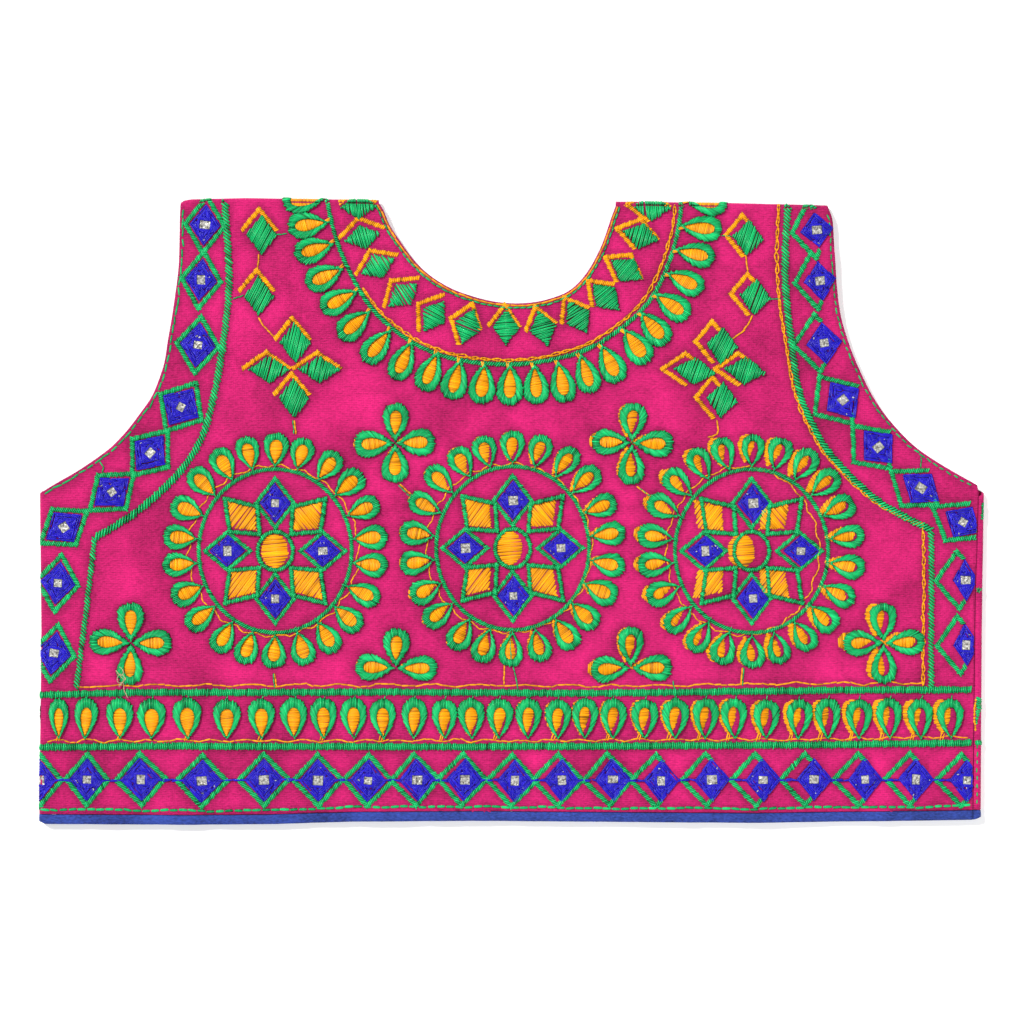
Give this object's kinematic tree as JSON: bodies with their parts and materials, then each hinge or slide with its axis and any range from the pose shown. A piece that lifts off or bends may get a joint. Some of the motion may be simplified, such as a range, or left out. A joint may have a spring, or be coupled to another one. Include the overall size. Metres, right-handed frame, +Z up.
{
  "type": "embroidered jacket",
  "caption": "Short sleeveless jacket with a scooped back neck, laid flat on its front, its back covered in raised mirror-work embroidery, with a bound hem.",
  "frame": {"origin": "under the middle of the garment, on the surface that it lies on", "axes": "+X across the body towards the right-hand side seam, +Y from hem to neck, +Z up out of the back"},
  "size_m": [0.48, 0.318, 0.0052],
  "materials": {
    "embroidered_cotton": "deep pink plain-weave cotton with raised satin-stitch embroidery",
    "plain_cotton": "deep pink plain-weave cotton",
    "binding": "royal blue folded cotton strip"
  },
  "bodies": {
    "root": {"back_panel": "embroidered_cotton", "left_front_panel": "plain_cotton", "right_front_panel": "plain_cotton", "back_hem_binding": "binding", "left_hem_binding": "binding", "right_hem_binding": "binding"}
  },
  "joints": []
}
